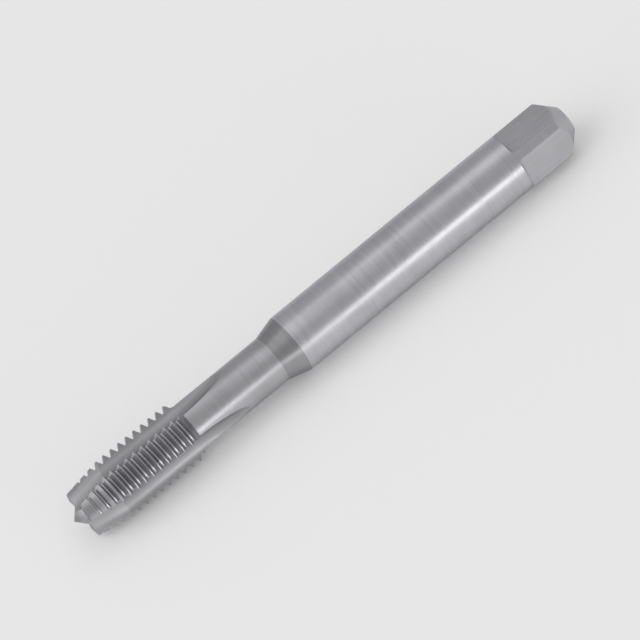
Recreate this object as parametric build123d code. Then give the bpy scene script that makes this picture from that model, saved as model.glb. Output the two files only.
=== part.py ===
from build123d import *
import os
from math import cos, radians, sin, sqrt, tan

# A spiral point tap for an M10 x 1.5 thread, ground from one bar of tool steel.
# It is shaped upright, with the front plane of its lands at z = 0, its shank upwards and its
# first land towards +X. It is then laid on its side along X, tip towards -X, with its axis
# through the origin. There it rests on its second land and its shank.

# Thread, slightly over the nominal 10 mm as on a real tap, with a crest on the first land at crest_at
pitch = 1.5
crest_diameter = 10.1
flank_angle = 60.0
crest_flat = 0.16
root_flat = 0.24
thread_length = 21.0
crest_at = 9.9
back_chamfer_angle = 45.0

# Lead: the first teeth are chamfered, and fall away behind each cutting edge
lead_half_angle = 9.0
front_above_root = 0.05
lead_relief = 0.2

# Centre point on the front
point_height = 1.8
point_half_angle = 48.0

# Flutes, with straight walls that lean under the crests and a round floor
flute_count = 3
land_angle = 60.0
rake_angle = 9.0
heel_hook_angle = 6.0
core_diameter = 5.0
flute_full_length = 19.0
wheel_radius = 41.0

# Spiral point: a round gash along each flute, deeper and nearer the cutting face at the front
gash_radius = 2.7
gash_length = 6.5
gash_below_core_front = 1.0
gash_above_core_back = 0.15
gash_shift_front = 0.2
gash_shift_back = -0.05

# Neck just under the thread's root, cone and shank
neck_below_root = 0.1
neck_end = 37.6
cone_half_angle = 15.0
shank_diameter = 10.0
body_length = 96.7
rear_chamfer = 2.65

# Drive square
square_across_flats = 8.0
square_length = 10.9
square_shoulder_radius = 0.7

# How far a corner of the square is turned from the first land
corner_from_land = -1.3

# How far the first land leans from straight up as the tap lies, which puts the second land below
lying_turn = 42.0

# Room that a cutting shape has beyond the surface it cuts
clear = 1.0

flank_spread = tan(radians(flank_angle / 2))
thread_depth = (pitch - crest_flat - root_flat) / 2 / flank_spread
crest_radius = crest_diameter / 2
root_radius = crest_radius - thread_depth
front_radius = root_radius + front_above_root
core_radius = core_diameter / 2
neck_radius = root_radius - neck_below_root
shank_radius = shank_diameter / 2
land_spacing = 360 / flute_count
half_flute = (land_spacing - land_angle) / 2
shank_start = neck_end + (shank_radius - neck_radius) / tan(radians(cone_half_angle))


def unit(angle):
    return Vector(cos(radians(angle)), sin(radians(angle)))


def turned_blank():
    # The turned bar, before any thread, flute or flat
    point_radius = point_height * tan(radians(point_half_angle))
    back_chamfer = (crest_radius - neck_radius) / tan(radians(back_chamfer_angle))
    outline = [
        (0, -point_height),
        (point_radius, 0),
        (crest_radius, 0),
        (crest_radius, thread_length - back_chamfer),
        (neck_radius, thread_length),
        (neck_radius, neck_end),
        (shank_radius, shank_start),
        (shank_radius, body_length - rear_chamfer),
        (shank_radius - rear_chamfer, body_length),
        (0, body_length),
    ]
    profile = make_face(Plane.XZ * Polyline(*outline, close=True))
    return revolve(profile, Axis.Z)


def thread_groove():
    # The space between the threads, a trapezoid wound on helices past both ends of the thread
    outer_radius = crest_radius + clear / 2
    outer_width = root_flat + 2 * (outer_radius - root_radius) * flank_spread
    first_groove = crest_at + pitch / 2 - pitch * int(crest_at / pitch + 2)
    wound_length = thread_length - first_groove + pitch

    def helix(radius, offset):
        return (Pos(0, 0, first_groove + offset) * Helix(pitch, wound_length, radius)).edges()[0]

    edges = [
        helix(root_radius, -root_flat / 2),
        helix(root_radius, root_flat / 2),
        helix(outer_radius, outer_width / 2),
        helix(outer_radius, -outer_width / 2),
    ]
    faces = [Face.make_surface_from_curves(edges[i - 1], edges[i]) for i in range(4)]
    for end in (0, 1):
        faces.append(Face(Wire.make_polygon([edge @ end for edge in edges], close=True)))
    return Solid(Shell(faces))


def flute_section():
    # Seen along the axis, with the middle of the flute on +X and the cutting face on its +Y side
    face_slope = half_flute - rake_angle
    heel_slope = half_flute - heel_hook_angle
    cutting_edge = crest_radius * unit(half_flute)
    heel_edge = crest_radius * unit(-half_flute)
    face_way = unit(face_slope)
    heel_way = unit(-heel_slope)
    # The two walls meet at a point, and the round floor's centre is on the line between them
    mouth = cutting_edge - heel_edge
    down_face = mouth.cross(heel_way).Z / face_way.cross(heel_way).Z
    meeting = cutting_edge - face_way * down_face
    middle = unit((face_slope - heel_slope) / 2)
    sine = sin(radians((face_slope + heel_slope) / 2))
    square_term = 1 - sine ** 2
    half_term = meeting.dot(middle) - core_radius * sine
    constant = meeting.dot(meeting) - core_radius ** 2
    along = (sqrt(half_term ** 2 - square_term * constant) - half_term) / square_term
    centre = meeting + middle * along
    floor_radius = along * sine
    face_tangent = centre + floor_radius * unit(90 + face_slope)
    heel_tangent = centre + floor_radius * unit(-90 - heel_slope)
    deepest = centre * (1 - floor_radius / centre.length)
    reach = crest_radius + clear
    face_out = face_tangent + face_way * reach
    heel_out = heel_tangent + heel_way * reach
    return make_face([
        Line(heel_out, heel_tangent),
        ThreePointArc(heel_tangent, deepest, face_tangent),
        Line(face_tangent, face_out),
        Line(face_out, heel_out),
    ])


def flute_cut():
    # Full depth along the thread, then the arc that the grinding wheel leaves as it lifts out
    section = flute_section()
    start = -point_height - clear
    straight = extrude(Pos(0, 0, start) * section, flute_full_length - start, dir=(0, 0, 1))
    wheel_axis = Axis((core_radius + wheel_radius, 0, flute_full_length), (0, 1, 0))
    lift_out = revolve(Pos(0, 0, flute_full_length) * section, wheel_axis, 45)
    return straight + lift_out


def gash_cut():
    # A round channel from just off the flute floor down into the front of the tap
    front_floor = core_radius - gash_below_core_front
    back_floor = core_radius + gash_above_core_back
    front = Vector(front_floor + gash_radius, gash_shift_front, 0)
    back = Vector(back_floor + gash_radius, gash_shift_back, gash_length)
    way = (back - front).normalized()
    start = front - way * (point_height + clear + gash_radius)
    length = (back - start).length + gash_radius
    channel = Cylinder(gash_radius, length, align=(Align.CENTER, Align.CENTER, Align.MIN))
    return Plane(origin=start, z_dir=way) * channel


def lead_cut():
    # Takes the lead chamfer off one land, on an axis set off so that the heel is lower
    slope = tan(radians(lead_half_angle))
    cone_front = front_radius - lead_relief / 2
    outer = crest_radius + lead_relief + clear
    length = (outer - cone_front) / slope
    outline = [
        (cone_front - clear * slope, -clear),
        (outer, length),
        (outer, -clear),
    ]
    profile = make_face(Plane.XZ * Polyline(*outline, close=True))
    wedge = Rot(0, 0, -land_spacing / 2) * revolve(profile, Axis.Z, land_spacing)
    return Pos(0, -lead_relief, 0) * wedge


def flat_cut():
    # Takes one flat of the drive square, with a round shoulder towards the shank
    flat = square_across_flats / 2
    depth = shank_radius - flat + clear
    block = Box(depth, 2 * shank_radius + clear, square_length + clear,
                align=(Align.MIN, Align.CENTER, Align.MIN))
    shoulder = block.edges().filter_by(Axis.Y).sort_by(Axis.Z)[:2].sort_by(Axis.X)[0]
    block = fillet(shoulder, square_shoulder_radius)
    return Pos(flat, 0, body_length - square_length) * block


def spiral_point_tap():
    tap = turned_blank() - thread_groove()
    for flute in range(flute_count):
        turn = Rot(0, 0, (flute + 0.5) * land_spacing)
        tap -= turn * flute_cut()
        tap -= turn * gash_cut()
    for land in range(flute_count):
        tap -= Rot(0, 0, land * land_spacing) * lead_cut()
    for side in range(4):
        tap -= Rot(0, 0, corner_from_land + 45 + side * 90) * flat_cut()
    return tap


def lay_down(tap):
    # The upright axis turns onto +X, mid-shank comes to the origin, and the first land leans towards -Y
    middle = (shank_start + body_length - square_length) / 2
    lying = Plane(origin=(-middle, 0, 0), x_dir=(0, 0, 1), z_dir=(1, 0, 0))
    return Rot(lying_turn, 0, 0) * (lying * tap)


def main():
    tap = lay_down(spiral_point_tap())
    os.makedirs("parts", exist_ok=True)
    export_step(tap, "parts/tap.step")
    print("volume", round(tap.volume, 1), "faces", len(tap.faces()), "valid", tap.is_valid)


if __name__ == "__main__":
    main()
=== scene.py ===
import bmesh
import bpy
from math import cos, pi, radians, sin, sqrt, tan
from mathutils import Matrix, Vector


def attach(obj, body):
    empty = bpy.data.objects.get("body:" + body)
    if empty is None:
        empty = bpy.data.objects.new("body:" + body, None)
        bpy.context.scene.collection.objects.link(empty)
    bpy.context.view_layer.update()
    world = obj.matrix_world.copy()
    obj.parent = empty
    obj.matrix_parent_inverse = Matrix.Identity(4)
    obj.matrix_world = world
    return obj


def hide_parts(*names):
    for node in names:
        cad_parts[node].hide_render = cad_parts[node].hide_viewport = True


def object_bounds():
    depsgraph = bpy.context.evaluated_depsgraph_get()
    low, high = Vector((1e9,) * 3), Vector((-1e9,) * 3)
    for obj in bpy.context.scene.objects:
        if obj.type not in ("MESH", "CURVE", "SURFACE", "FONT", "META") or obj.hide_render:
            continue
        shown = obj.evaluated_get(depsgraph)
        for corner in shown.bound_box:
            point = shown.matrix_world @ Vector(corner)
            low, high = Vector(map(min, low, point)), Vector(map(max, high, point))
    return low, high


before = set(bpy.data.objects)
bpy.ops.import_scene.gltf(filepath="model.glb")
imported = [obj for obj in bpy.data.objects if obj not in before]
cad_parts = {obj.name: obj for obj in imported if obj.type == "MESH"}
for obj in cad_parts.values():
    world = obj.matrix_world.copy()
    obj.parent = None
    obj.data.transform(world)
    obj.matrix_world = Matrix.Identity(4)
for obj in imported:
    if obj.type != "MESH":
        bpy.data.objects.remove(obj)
cad_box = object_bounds()

# Sizes of the tap in millimetres and degrees, with the front plane of its lands at zero
MM = 0.001
POINT_HEIGHT = 1.8
POINT_HALF_ANGLE = 48.0
PITCH = 1.5
CREST_RADIUS = 5.05
CREST_FLAT = 0.16
ROOT_FLAT = 0.24
FLANK_ANGLE = 60.0
THREAD_LENGTH = 21.0
CREST_AT = 9.9
LEAD_HALF_ANGLE = 9.0
FRONT_ABOVE_ROOT = 0.05
LEAD_RELIEF = 0.2
LAND_COUNT = 3
LAND_ANGLE = 60.0
RAKE_ANGLE = 9.0
HEEL_HOOK_ANGLE = 6.0
CORE_RADIUS = 2.5
FLUTE_FULL_LENGTH = 19.0
WHEEL_RADIUS = 41.0
GASH_RADIUS = 2.7
GASH_LENGTH = 6.5
GASH_FLOOR_FRONT = 1.5
GASH_FLOOR_BACK = 2.65
GASH_SHIFT_FRONT = 0.2
GASH_SHIFT_BACK = -0.05
NECK_BELOW_ROOT = 0.1
NECK_END = 37.6
CONE_HALF_ANGLE = 15.0
SHANK_RADIUS = 5.0
BODY_LENGTH = 96.7
REAR_CHAMFER = 2.65
SQUARE_HALF = 4.0
SQUARE_LENGTH = 10.9
SQUARE_SHOULDER_RADIUS = 0.7
CORNER_FROM_LAND = -1.3
LYING_TURN = 42.0
CLEAR = 1.0

FLANK_SPREAD = tan(radians(FLANK_ANGLE / 2))
ROOT_RADIUS = CREST_RADIUS - (PITCH - CREST_FLAT - ROOT_FLAT) / 2 / FLANK_SPREAD
NECK_RADIUS = ROOT_RADIUS - NECK_BELOW_ROOT
SHANK_START = NECK_END + (SHANK_RADIUS - NECK_RADIUS) / tan(radians(CONE_HALF_ANGLE))
LAND_SPACING = 360 / LAND_COUNT
HALF_FLUTE = (LAND_SPACING - LAND_ANGLE) / 2

# How finely round shapes are divided
ROUND_STEPS = 192
FLOOR_STEPS = 28
LIFT_STEP_ANGLE = 0.5
LIFT_ANGLE = 24.0
GASH_STEPS = 96
SHOULDER_STEPS = 10

# Edges sharper than this many degrees stay sharp, and slivers this many millimetres thin are dropped
SHARP_ANGLE = 22.0
SLIVER = 0.0002

# Steel, by what ground it: its reflectance, and how rough its finish is. The cone, thread and flutes
# (and the front, which shares the flutes' shade) are partly painted shade: they are darker than their
# steel alone would make them.
SHANK_COLOUR = (0.55, 0.545, 0.57)
NECK_COLOUR = (0.48, 0.476, 0.497)
# Painted shade: the next three shades, for cone, thread and flutes, are darkened to stand in for
# shade that falls on them
CONE_SHADED_COLOUR = (0.36, 0.357, 0.373)
THREAD_SHADED_COLOUR = (0.45, 0.446, 0.466)
FLUTE_SHADED_COLOUR = (0.42, 0.416, 0.435)
GASH_COLOUR = (0.5, 0.496, 0.51)
FLAT_COLOUR = (0.52, 0.515, 0.539)
EDGE_TINT = (0.75, 0.745, 0.765)
SHANK_ROUGHNESS = 0.36
NECK_ROUGHNESS = 0.36
CONE_ROUGHNESS = 0.31
THREAD_ROUGHNESS = 0.32
FLUTE_ROUGHNESS = 0.4
GASH_ROUGHNESS = 0.42
FLAT_ROUGHNESS = 0.3
REAR_ROUGHNESS = 0.34
FRONT_ROUGHNESS = 0.42

# Grinding marks and rounded edges, in metres
FINE_MARK = 0.00006
BROAD_MARK = 0.0003
CLOUD = 0.004
FINE_DETAIL = 2.0
BROAD_DETAIL = 3.0
CLOUD_DETAIL = 2.0
NOISE_LOW = 0.3
NOISE_HIGH = 0.7
MARK_STRETCH = 0.02
MARK_DEPTH = 0.000004
MARK_STRENGTH = 0.2
COLOUR_CHANGE = 0.14
ROUGHNESS_CHANGE = 0.05
EDGE_ROUNDING = 0.00006
THREAD_ROUNDING = 0.000015
BEVEL_SAMPLES = 4

# How far the marks stretch a highlight, and which way, in turns from the way round the axis
ANISOTROPY = 0.25
QUARTER_TURN = 0.25
NO_TURN = 0.0

# The camera looks straight at the first land, leaning a little towards the tip
VIEW_LEAN = 9.77
IMAGE_ANGLE = 39.382
CAMERA_DISTANCE = 1.2
CAMERA_TARGET_X = -0.01637
CAMERA_LENS = 441.4
SENSOR_WIDTH = 36.0
CAMERA_REACH = 30.0

# Light, as radiance, and floor
WORLD_COLOUR = (0.48, 0.48, 0.485)
FLOOR_HALF = 6.0
FLOOR_COLOUR = (0.9, 0.9, 0.895)
FLOOR_GLOW = 0.11
FLOOR_ROUGHNESS = 0.5
FLOOR_GLOSS = 0.08


def unit(angle):
    return Vector((cos(radians(angle)), sin(radians(angle)), 0.0))


def mesh_object(name, points, faces, material):
    mesh = bpy.data.meshes.new(name)
    mesh.from_pydata([tuple(point) for point in points], [], faces)
    shell = bmesh.new()
    shell.from_mesh(mesh)
    bmesh.ops.recalc_face_normals(shell, faces=shell.faces)
    shell.to_mesh(mesh)
    shell.free()
    mesh.materials.append(material)
    made = bpy.data.objects.new(name, mesh)
    bpy.context.scene.collection.objects.link(made)
    return made


def turned(point, angle):
    c = cos(radians(angle))
    s = sin(radians(angle))
    return Vector((point[0] * c - point[1] * s, point[0] * s + point[1] * c, point[2]))


def loft(name, rings, material):
    # A closed solid through rings of equally many points, with both ends capped
    count = len(rings[0])
    points = [point for ring in rings for point in ring]
    faces = []
    for r in range(len(rings) - 1):
        for i in range(count):
            j = (i + 1) % count
            faces.append((r * count + i, r * count + j, (r + 1) * count + j, (r + 1) * count + i))
    faces.append(tuple(reversed(range(count))))
    faces.append(tuple(range((len(rings) - 1) * count, len(rings) * count)))
    return mesh_object(name, points, faces, material)


def turned_blank(steels):
    # The turned bar. Each stretch of its outline has the steel named with the stretch's start.
    point_radius = POINT_HEIGHT * tan(radians(POINT_HALF_ANGLE))
    back_chamfer = CREST_RADIUS - NECK_RADIUS
    outline = [
        (0, -POINT_HEIGHT, "front"),
        (point_radius, 0, "front"),
        (CREST_RADIUS, 0, "thread"),
        (CREST_RADIUS, THREAD_LENGTH - back_chamfer, "cone"),
        (NECK_RADIUS, THREAD_LENGTH, "neck"),
        (NECK_RADIUS, NECK_END, "cone"),
        (SHANK_RADIUS, SHANK_START, "shank"),
        (SHANK_RADIUS, BODY_LENGTH - REAR_CHAMFER, "rear"),
        (SHANK_RADIUS - REAR_CHAMFER, BODY_LENGTH, "rear"),
    ]
    names = list(steels)
    slots = [names.index(stretch) for r, z, stretch in outline]
    points = [Vector((0, 0, -POINT_HEIGHT))]
    for r, z, stretch in outline[1:]:
        for i in range(ROUND_STEPS):
            points.append(unit(360 * i / ROUND_STEPS) * r + Vector((0, 0, z)))
    faces = []
    slot_of_face = []
    for ring in range(len(outline) - 1):
        low = 1 + (ring - 1) * ROUND_STEPS
        high = low + ROUND_STEPS
        for i in range(ROUND_STEPS):
            j = (i + 1) % ROUND_STEPS
            if ring == 0:
                faces.append((0, high + j, high + i))
            else:
                faces.append((low + i, low + j, high + j, high + i))
            slot_of_face.append(slots[ring])
    faces.append(tuple(range(len(points) - ROUND_STEPS, len(points))))
    slot_of_face.append(slots[-1])
    blank = mesh_object("tap_body", points, faces, steels[names[0]])
    for name in names[1:]:
        blank.data.materials.append(steels[name])
    blank.data.polygons.foreach_set("material_index", slot_of_face)
    return blank


def thread_groove(material):
    outer_radius = CREST_RADIUS + CLEAR / 2
    outer_width = ROOT_FLAT + 2 * (outer_radius - ROOT_RADIUS) * FLANK_SPREAD
    first = CREST_AT + PITCH / 2 - PITCH * int(CREST_AT / PITCH + 2)
    turns = (THREAD_LENGTH - first) / PITCH + 1
    section = [
        (ROOT_RADIUS, -ROOT_FLAT / 2),
        (outer_radius, -outer_width / 2),
        (outer_radius, outer_width / 2),
        (ROOT_RADIUS, ROOT_FLAT / 2),
    ]
    rings = []
    for i in range(int(turns * ROUND_STEPS) + 1):
        angle = 360 * (i + 0.5) / ROUND_STEPS
        climb = first + PITCH * angle / 360
        rings.append([unit(angle) * r + Vector((0, 0, climb + z)) for r, z in section])
    return loft("groove", rings, material)


def flute_outline():
    # Seen along the axis, with the middle of the flute on +X and the cutting face on its +Y side
    face_slope = HALF_FLUTE - RAKE_ANGLE
    heel_slope = HALF_FLUTE - HEEL_HOOK_ANGLE
    face_way = unit(face_slope)
    heel_way = unit(-heel_slope)
    mouth = CREST_RADIUS * (unit(HALF_FLUTE) - unit(-HALF_FLUTE))
    down_face = mouth.cross(heel_way).z / face_way.cross(heel_way).z
    meeting = CREST_RADIUS * unit(HALF_FLUTE) - face_way * down_face
    middle = unit((face_slope - heel_slope) / 2)
    sine = sin(radians((face_slope + heel_slope) / 2))
    square_term = 1 - sine ** 2
    half_term = meeting.dot(middle) - CORE_RADIUS * sine
    constant = meeting.dot(meeting) - CORE_RADIUS ** 2
    along = (sqrt(half_term ** 2 - square_term * constant) - half_term) / square_term
    centre = meeting + middle * along
    floor_radius = along * sine
    start = 90 + face_slope
    sweep = 180 - face_slope - heel_slope
    reach = CREST_RADIUS + CLEAR
    outline = [centre + floor_radius * unit(start) + face_way * reach]
    for i in range(FLOOR_STEPS + 1):
        outline.append(centre + floor_radius * unit(start + sweep * i / FLOOR_STEPS))
    outline.append(centre + floor_radius * unit(start + sweep) + heel_way * reach)
    return outline


def flute_cutter(turn, material):
    # Straight along the thread, then round the grinding wheel as it lifts out
    outline = flute_outline()
    axis_x = CORE_RADIUS + WHEEL_RADIUS
    rings = [[point + Vector((0, 0, -POINT_HEIGHT - CLEAR)) for point in outline]]
    for i in range(int(LIFT_ANGLE / LIFT_STEP_ANGLE) + 1):
        a = radians(i * LIFT_STEP_ANGLE)
        ring = []
        for point in outline:
            arm = axis_x - point.x
            ring.append(Vector((axis_x - arm * cos(a), point.y, FLUTE_FULL_LENGTH + arm * sin(a))))
        rings.append(ring)
    rings = [[turned(point, turn) for point in ring] for ring in rings]
    return loft("flute", rings, material)


def gash_cutter(turn, material):
    front = Vector((GASH_FLOOR_FRONT + GASH_RADIUS, GASH_SHIFT_FRONT, 0))
    back = Vector((GASH_FLOOR_BACK + GASH_RADIUS, GASH_SHIFT_BACK, GASH_LENGTH))
    way = (back - front).normalized()
    start = front - way * (POINT_HEIGHT + CLEAR + GASH_RADIUS)
    end = back + way * GASH_RADIUS
    side = way.cross(Vector((0, 1, 0))).normalized()
    across = way.cross(side)
    rings = []
    for centre in (start, end):
        ring = []
        for i in range(GASH_STEPS):
            a = 2 * pi * i / GASH_STEPS
            ring.append(turned(centre + (side * cos(a) + across * sin(a)) * GASH_RADIUS, turn))
        rings.append(ring)
    return loft("gash", rings, material)


def lead_cutter(turn, material):
    slope = tan(radians(LEAD_HALF_ANGLE))
    cone_front = ROOT_RADIUS + FRONT_ABOVE_ROOT - LEAD_RELIEF / 2
    outer = CREST_RADIUS + LEAD_RELIEF + CLEAR
    length = (outer - cone_front) / slope
    outline = [(cone_front - CLEAR * slope, -CLEAR), (outer, -CLEAR), (outer, length)]
    steps = ROUND_STEPS // LAND_COUNT
    rings = []
    for i in range(steps + 1):
        angle = LAND_SPACING * (i / steps - 0.5)
        ring = [unit(angle) * r + Vector((0, -LEAD_RELIEF, z)) for r, z in outline]
        rings.append([turned(point, turn) for point in ring])
    return loft("lead", rings, material)


def flat_cutter(turn, material):
    depth = SHANK_RADIUS - SQUARE_HALF + CLEAR
    low = BODY_LENGTH - SQUARE_LENGTH
    high = BODY_LENGTH + CLEAR
    outline = [(SQUARE_HALF, high)]
    for i in range(SHOULDER_STEPS + 1):
        a = radians(90 * i / SHOULDER_STEPS)
        x = SQUARE_HALF + SQUARE_SHOULDER_RADIUS * (1 - cos(a))
        outline.append((x, low + SQUARE_SHOULDER_RADIUS * (1 - sin(a))))
    outline.append((SQUARE_HALF + depth, low))
    outline.append((SQUARE_HALF + depth, high))
    half = SHANK_RADIUS + CLEAR
    rings = [[turned(Vector((x, y, z)), turn) for x, z in outline] for y in (-half, half)]
    return loft("flat", rings, material)


def cut_away(body, cutters):
    # All the cuts in turn, without the slivers that they leave
    for cutter in cutters:
        cut = body.modifiers.new(cutter.name, "BOOLEAN")
        cut.operation = "DIFFERENCE"
        cut.solver = "EXACT"
        cut.material_mode = "TRANSFER"
        cut.object = cutter
    bpy.context.view_layer.update()
    depsgraph = bpy.context.evaluated_depsgraph_get()
    mesh = bpy.data.meshes.new_from_object(body.evaluated_get(depsgraph))
    shell = bmesh.new()
    shell.from_mesh(mesh)
    bmesh.ops.dissolve_degenerate(shell, dist=SLIVER, edges=shell.edges)
    shell.to_mesh(mesh)
    shell.free()
    body.modifiers.clear()
    body.data = mesh
    for cutter in cutters:
        bpy.data.objects.remove(cutter)


def lay_down(body):
    # The upright axis turns onto +X, mid-shank comes to the origin, and the first land leans to -Y
    middle = (SHANK_START + BODY_LENGTH - SQUARE_LENGTH) / 2
    lying = Matrix(((0, 0, MM, -middle * MM), (0, -MM, 0, 0), (MM, 0, 0, 0), (0, 0, 0, 1)))
    body.data.transform(Matrix.Rotation(radians(LYING_TURN), 4, "X") @ lying)


def smooth_but_sharp(body):
    body.data.shade_smooth()
    body.data.set_sharp_from_angle(angle=radians(SHARP_ANGLE))


def add_node(material, kind, inputs, **settings):
    # A shader node whose inputs are given as numbers, or as the sockets that feed them
    tree = material.node_tree
    made = tree.nodes.new(kind)
    for name, value in settings.items():
        setattr(made, name, value)
    for socket, value in inputs.items():
        if isinstance(value, bpy.types.NodeSocket):
            tree.links.new(value, made.inputs[socket])
        else:
            made.inputs[socket].default_value = value
    return made


def reckon(material, operation, first, second=0.0):
    # One step of arithmetic on numbers or sockets
    return add_node(material, "ShaderNodeMath", {0: first, 1: second}, operation=operation).outputs[0]


def object_place(material, turn=0.0):
    # Where a point of the tap is, in metres, with the tap turned about its axis
    place = add_node(material, "ShaderNodeTexCoord", {}).outputs["Object"]
    rotation = (radians(turn), 0.0, 0.0)
    turned_place = add_node(material, "ShaderNodeMapping", {"Vector": place, "Rotation": rotation})
    return add_node(material, "ShaderNodeSeparateXYZ", {"Vector": turned_place.outputs[0]}).outputs


def marks_place(material, across, y, z):
    # Squeezed in y and z, so that noise gives long marks round the axis
    long_y = reckon(material, "MULTIPLY", y, MARK_STRETCH)
    long_z = reckon(material, "MULTIPLY", z, MARK_STRETCH)
    inputs = {"X": across, "Y": long_y, "Z": long_z}
    return add_node(material, "ShaderNodeCombineXYZ", inputs).outputs[0]


def turned_marks(material):
    # Round the axis, on cylinders, cones and end faces alike
    x, y, z = object_place(material)
    y_square = reckon(material, "MULTIPLY", y, y)
    z_square = reckon(material, "MULTIPLY", z, z)
    radius = reckon(material, "SQRT", reckon(material, "ADD", y_square, z_square))
    half_radius = reckon(material, "MULTIPLY", radius, 0.5)
    return marks_place(material, reckon(material, "ADD", x, half_radius), y, z)


def thread_marks(material):
    # Climbing with the thread, with the jump between turns in the flute opposite the first land
    x, y, z = object_place(material, -LYING_TURN)
    angle = reckon(material, "ARCTAN2", y, z)
    climb = reckon(material, "MULTIPLY", angle, PITCH * MM / (2 * pi))
    return marks_place(material, reckon(material, "ADD", x, climb), y, z)


def lengthwise_marks(material):
    # Along the axis, as the wheel passes down a flute, a gash or a flat
    x, y, z = object_place(material)
    long_x = reckon(material, "MULTIPLY", x, MARK_STRETCH)
    return add_node(material, "ShaderNodeCombineXYZ", {"X": long_x, "Y": y, "Z": z}).outputs[0]


def noise(material, place, size, detail):
    # Soft noise from 0 to 1, with features of about the given size in metres
    inputs = {"Vector": place, "Scale": 1 / size, "Detail": detail}
    return add_node(material, "ShaderNodeTexNoise", inputs).outputs["Fac"]


def mottled(material, colour, noises):
    # The colour, a little darker or lighter by the mean of the noises
    total = reckon(material, "ADD", reckon(material, "ADD", noises[0], noises[1]), noises[2])
    mean = reckon(material, "MULTIPLY", total, 1 / 3)
    ramp = add_node(material, "ShaderNodeValToRGB", {"Fac": mean})
    dark, light = ramp.color_ramp.elements
    dark.position = NOISE_LOW
    light.position = NOISE_HIGH
    dark.color = (*[part * (1 - COLOUR_CHANGE) for part in colour], 1.0)
    light.color = (*[part * (1 + COLOUR_CHANGE) for part in colour], 1.0)
    return ramp.outputs["Color"]


def uneven(material, roughness, bands):
    # The roughness, a little less or more by the noise
    inputs = {
        "Value": bands,
        "From Min": NOISE_LOW,
        "From Max": NOISE_HIGH,
        "To Min": roughness - ROUGHNESS_CHANGE,
        "To Max": roughness + ROUGHNESS_CHANGE,
    }
    return add_node(material, "ShaderNodeMapRange", inputs).outputs[0]


def scratched(material, rounding, fine):
    # The normal, with rounded edges and the fine marks in relief
    bevel = add_node(material, "ShaderNodeBevel", {"Radius": rounding}, samples=BEVEL_SAMPLES)
    inputs = {
        "Height": fine,
        "Strength": MARK_STRENGTH,
        "Distance": MARK_DEPTH,
        "Normal": bevel.outputs[0],
    }
    return add_node(material, "ShaderNodeBump", inputs).outputs[0]


def ground_steel(name, colour, roughness, marks, rounding, highlight_turn):
    material = bpy.data.materials.new(name)
    material.use_nodes = True
    shader = material.node_tree.nodes["Principled BSDF"]
    link = material.node_tree.links.new
    place = marks(material)
    fine = noise(material, place, FINE_MARK, FINE_DETAIL)
    bands = noise(material, place, BROAD_MARK, BROAD_DETAIL)
    even_place = add_node(material, "ShaderNodeTexCoord", {}).outputs["Object"]
    clouds = noise(material, even_place, CLOUD, CLOUD_DETAIL)
    link(mottled(material, colour, (fine, bands, clouds)), shader.inputs["Base Color"])
    link(uneven(material, roughness, bands), shader.inputs["Roughness"])
    link(scratched(material, rounding, fine), shader.inputs["Normal"])

    tangent = add_node(material, "ShaderNodeTangent", {}, direction_type="RADIAL", axis="X")
    link(tangent.outputs[0], shader.inputs["Tangent"])
    shader.inputs["Anisotropic"].default_value = ANISOTROPY
    shader.inputs["Anisotropic Rotation"].default_value = highlight_turn
    shader.inputs["Metallic"].default_value = 1.0
    shader.inputs["Specular Tint"].default_value = (*EDGE_TINT, 1.0)
    return material


def make_steels():
    # Each surface by its name, in the finish that its own grinding left, and in a shade that for the
    # cone, thread, flutes and front is partly painted shade
    round_finish = (turned_marks, EDGE_ROUNDING, QUARTER_TURN)
    thread_finish = (thread_marks, THREAD_ROUNDING, QUARTER_TURN)
    long_finish = (lengthwise_marks, EDGE_ROUNDING, NO_TURN)
    looks = {
        "shank": (SHANK_COLOUR, SHANK_ROUGHNESS, *round_finish),
        "neck": (NECK_COLOUR, NECK_ROUGHNESS, *round_finish),
        "cone": (CONE_SHADED_COLOUR, CONE_ROUGHNESS, *round_finish),
        "rear": (FLAT_COLOUR, REAR_ROUGHNESS, *round_finish),
        "front": (FLUTE_SHADED_COLOUR, FRONT_ROUGHNESS, *round_finish),
        "thread": (THREAD_SHADED_COLOUR, THREAD_ROUGHNESS, *thread_finish),
        "flute": (FLUTE_SHADED_COLOUR, FLUTE_ROUGHNESS, *long_finish),
        "gash": (GASH_COLOUR, GASH_ROUGHNESS, *long_finish),
        "flat": (FLAT_COLOUR, FLAT_ROUGHNESS, *long_finish),
    }
    return {name: ground_steel("ground_" + name, *look) for name, look in looks.items()}


def make_tap():
    steels = make_steels()
    body = turned_blank(steels)
    flutes = [(k + 0.5) * LAND_SPACING for k in range(LAND_COUNT)]
    lands = [k * LAND_SPACING for k in range(LAND_COUNT)]
    cutters = [flute_cutter(turn, steels["flute"]) for turn in flutes]
    cutters += [gash_cutter(turn, steels["gash"]) for turn in flutes]
    cutters += [lead_cutter(turn, steels["thread"]) for turn in lands]
    sides = [CORNER_FROM_LAND + 45 + 90 * k for k in range(4)]
    cutters += [flat_cutter(turn, steels["flat"]) for turn in sides]
    cutters.append(thread_groove(steels["thread"]))
    cut_away(body, cutters)
    lay_down(body)
    smooth_but_sharp(body)
    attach(body, "root")
    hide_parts("tap")


def side_way(from_up, lean=0.0):
    # A direction seen from the tap: from straight up over towards -Y, then leaning to the shank
    c = cos(radians(lean))
    return Vector((sin(radians(lean)), -sin(radians(from_up)) * c, cos(radians(from_up)) * c))


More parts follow.
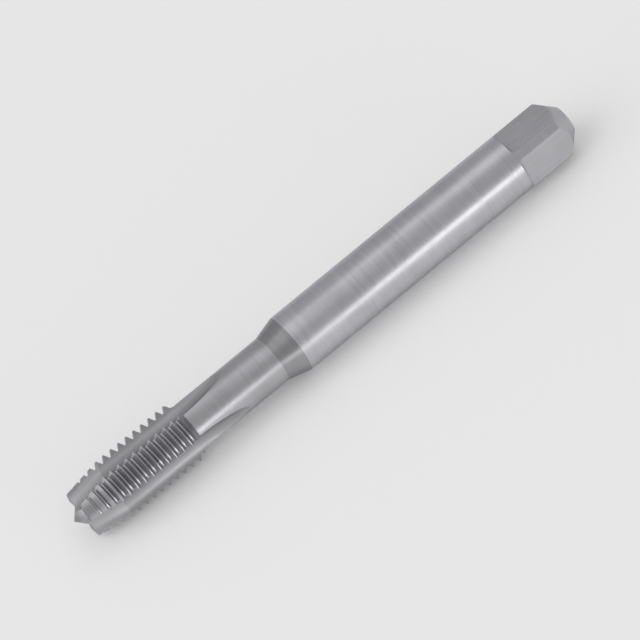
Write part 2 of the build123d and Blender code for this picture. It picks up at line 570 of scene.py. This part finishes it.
def make_camera():
    data = bpy.data.cameras.new("camera")
    data.lens = CAMERA_LENS
    data.sensor_width = SENSOR_WIDTH
    data.clip_end = CAMERA_REACH
    camera = bpy.data.objects.new("camera", data)
    bpy.context.scene.collection.objects.link(camera)
    back = side_way(LYING_TURN, -VIEW_LEAN)
    across = side_way(LYING_TURN - 90)
    along = across.cross(back)
    turn = radians(IMAGE_ANGLE)
    right = along * cos(turn) - across * sin(turn)
    up = along * sin(turn) + across * cos(turn)
    camera.location = Vector((CAMERA_TARGET_X, 0, 0)) + back * CAMERA_DISTANCE
    camera.rotation_euler = Matrix((right, up, back)).transposed().to_euler()
    bpy.context.scene.camera = camera


def area_lamp(name, from_up, lean, distance, width, length, radiance):
    # A soft rectangle that faces the tap, with its length level and the same radiance at any size
    data = bpy.data.lights.new(name, "AREA")
    data.shape = "RECTANGLE"
    data.size = length
    data.size_y = width
    data.energy = radiance * pi * width * length
    lamp = bpy.data.objects.new(name, data)
    bpy.context.scene.collection.objects.link(lamp)
    way = side_way(from_up, lean)
    lamp.location = way * distance
    lamp.rotation_euler = (-way).to_track_quat("-Z", "Y").to_euler()
    lamp.visible_camera = False


def make_floor():
    z = cad_box[0][2]
    ways = [(-1, -1), (1, -1), (1, 1), (-1, 1)]
    corners = [(x * FLOOR_HALF, y * FLOOR_HALF, z) for x, y in ways]
    material = bpy.data.materials.new("floor")
    material.use_nodes = True
    shader = material.node_tree.nodes["Principled BSDF"]
    shader.inputs["Base Color"].default_value = (*FLOOR_COLOUR, 1.0)
    shader.inputs["Roughness"].default_value = FLOOR_ROUGHNESS
    shader.inputs["Specular IOR Level"].default_value = FLOOR_GLOSS
    shader.inputs["Emission Color"].default_value = (1.0, 1.0, 1.0, 1.0)
    # Paler for the camera and for what the steel mirrors, with no more light on the tap
    path = add_node(material, "ShaderNodeLightPath", {})
    seen = reckon(material, "ADD", path.outputs["Is Camera Ray"], path.outputs["Is Glossy Ray"])
    glow = reckon(material, "MULTIPLY", seen, FLOOR_GLOW)
    material.node_tree.links.new(glow, shader.inputs["Emission Strength"])
    mesh = bpy.data.meshes.new("floor")
    mesh.from_pydata(corners, [], [(0, 1, 2, 3)])
    mesh.materials.append(material)
    floor = bpy.data.objects.new("floor", mesh)
    bpy.context.scene.collection.objects.link(floor)


def make_world():
    world = bpy.data.worlds.new("world")
    world.use_nodes = True
    background = world.node_tree.nodes["Background"]
    background.inputs["Color"].default_value = (*WORLD_COLOUR, 1.0)
    bpy.context.scene.world = world


make_camera()
make_floor()
make_world()
area_lamp("low_strip", from_up=82, lean=12, distance=0.6, width=0.15, length=0.4, radiance=2.4)
area_lamp("high_strip", from_up=-15, lean=20, distance=0.6, width=0.38, length=0.36, radiance=0.6)
area_lamp("key", from_up=0, lean=-60, distance=1.5, width=3.4, length=1.6, radiance=1.0)
bpy.context.scene.view_settings.view_transform = "Standard"
make_tap()
